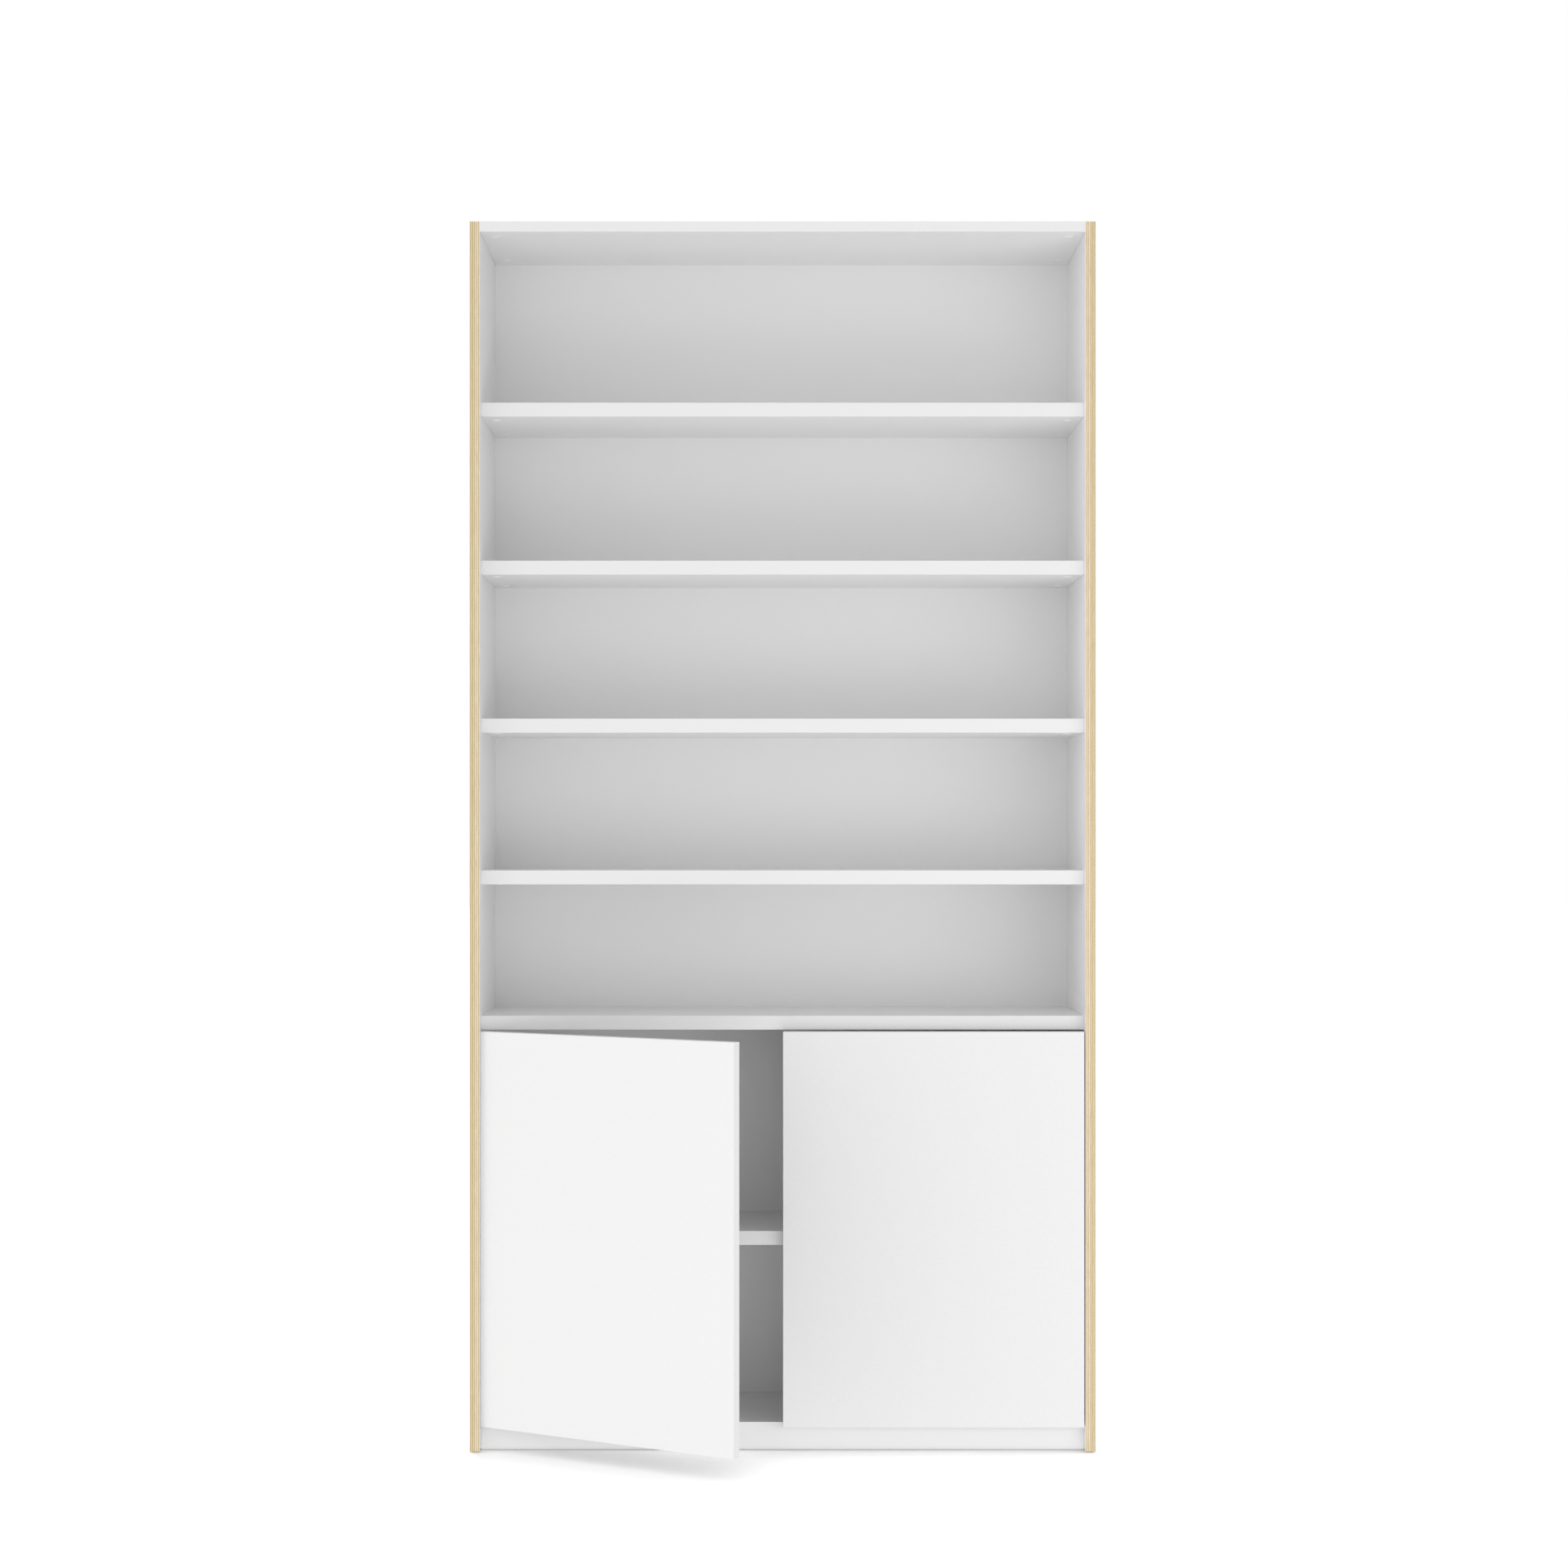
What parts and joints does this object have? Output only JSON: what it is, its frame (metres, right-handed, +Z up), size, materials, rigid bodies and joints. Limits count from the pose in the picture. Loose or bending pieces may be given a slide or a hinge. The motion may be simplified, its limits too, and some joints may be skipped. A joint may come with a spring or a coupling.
{
  "type": "bookcase with cabinet doors",
  "caption": "Tall white bookcase with bare plywood side edges, open shelves above and a cabinet with plain swing doors on concealed hinges below.",
  "frame": {"origin": "on the floor, under the middle of the case's footprint", "axes": "+X to the right seen from the front, +Y to the back, +Z up"},
  "size_m": [1.11, 0.5986, 2.215],
  "materials": {
    "white_melamine_board": "matt white melamine on board",
    "laminated_plywood": "matt white laminate faces, bare birch plywood edges",
    "white_hardboard": "white lacquered thin board",
    "beech": "fluted raw beech",
    "white_plastic": "moulded",
    "grey_plastic": "moulded",
    "cast_zinc": "cast zinc",
    "zinc_plated_steel": "zinc plated",
    "nickel_plated_steel": "nickel plated"
  },
  "bodies": {
    "case": {"back_panel_screws": "zinc_plated_steel", "bottom_panel": "white_melamine_board", "cabinet_shelf": "white_melamine_board", "cabinet_top_shelf": "white_melamine_board", "cam_bolts": "zinc_plated_steel", "cam_caps": "white_plastic", "cam_locks": "cast_zinc", "dowels": "beech", "glides": "white_plastic", "hinge_arm_screws": "zinc_plated_steel", "hinge_plate_screws": "zinc_plated_steel", "latch_screws": "zinc_plated_steel", "left_latch_housing": "grey_plastic", "left_lower_hinge_arm": "nickel_plated_steel", "left_lower_hinge_plate": "nickel_plated_steel", "left_side_panel": "laminated_plywood", "left_upper_hinge_arm": "nickel_plated_steel", "left_upper_hinge_plate": "nickel_plated_steel", "left_wall_bracket": "nickel_plated_steel", "lower_back_panel": "white_hardboard", "middle_support": "white_melamine_board", "plinth": "white_melamine_board", "rear_rail": "white_melamine_board", "right_latch_housing": "grey_plastic", "right_lower_hinge_arm": "nickel_plated_steel", "right_lower_hinge_plate": "nickel_plated_steel", "right_side_panel": "laminated_plywood", "right_upper_hinge_arm": "nickel_plated_steel", "right_upper_hinge_plate": "nickel_plated_steel", "right_wall_bracket": "nickel_plated_steel", "shelf_1": "white_melamine_board", "shelf_2": "white_melamine_board", "shelf_3": "white_melamine_board", "shelf_4": "white_melamine_board", "shelf_pins": "nickel_plated_steel", "top_panel": "white_melamine_board", "upper_back_panel": "white_hardboard", "wall_bracket_screws": "zinc_plated_steel"},
    "left_door": {"left_door": "white_melamine_board", "left_cup_screws": "zinc_plated_steel", "left_strike_plate": "nickel_plated_steel", "left_strike_screws": "zinc_plated_steel", "left_lower_hinge_cup": "nickel_plated_steel", "left_lower_hinge_pin": "nickel_plated_steel", "left_upper_hinge_cup": "nickel_plated_steel", "left_upper_hinge_pin": "nickel_plated_steel"},
    "right_door": {"right_door": "white_melamine_board", "right_cup_screws": "zinc_plated_steel", "right_strike_plate": "nickel_plated_steel", "right_strike_screws": "zinc_plated_steel", "right_lower_hinge_cup": "nickel_plated_steel", "right_lower_hinge_pin": "nickel_plated_steel", "right_upper_hinge_cup": "nickel_plated_steel", "right_upper_hinge_pin": "nickel_plated_steel"},
    "left_plunger": {"left_latch_plunger": "grey_plastic"},
    "right_plunger": {"right_latch_plunger": "grey_plastic"}
  },
  "joints": [
    {"name": "left_door_swing", "type": "hinge", "parent": "case", "child": "left_door", "pos_m": [-0.52, -0.1545, 0.39575], "axis": [0, 0, -1], "range_deg": [-32, 63]},
    {"name": "right_door_swing", "type": "hinge", "parent": "case", "child": "right_door", "pos_m": [0.52, -0.1545, 0.39575], "axis": [0, 0, 1], "range_deg": [0, 95]},
    {"name": "left_plunger_push", "type": "slide", "parent": "case", "child": "left_plunger", "axis": [0, 1, 0], "range_m": [0, 0.003], "stiffness_N_per_m": 300},
    {"name": "right_plunger_push", "type": "slide", "parent": "case", "child": "right_plunger", "axis": [0, 1, 0], "range_m": [0, 0.003], "stiffness_N_per_m": 300}
  ]
}
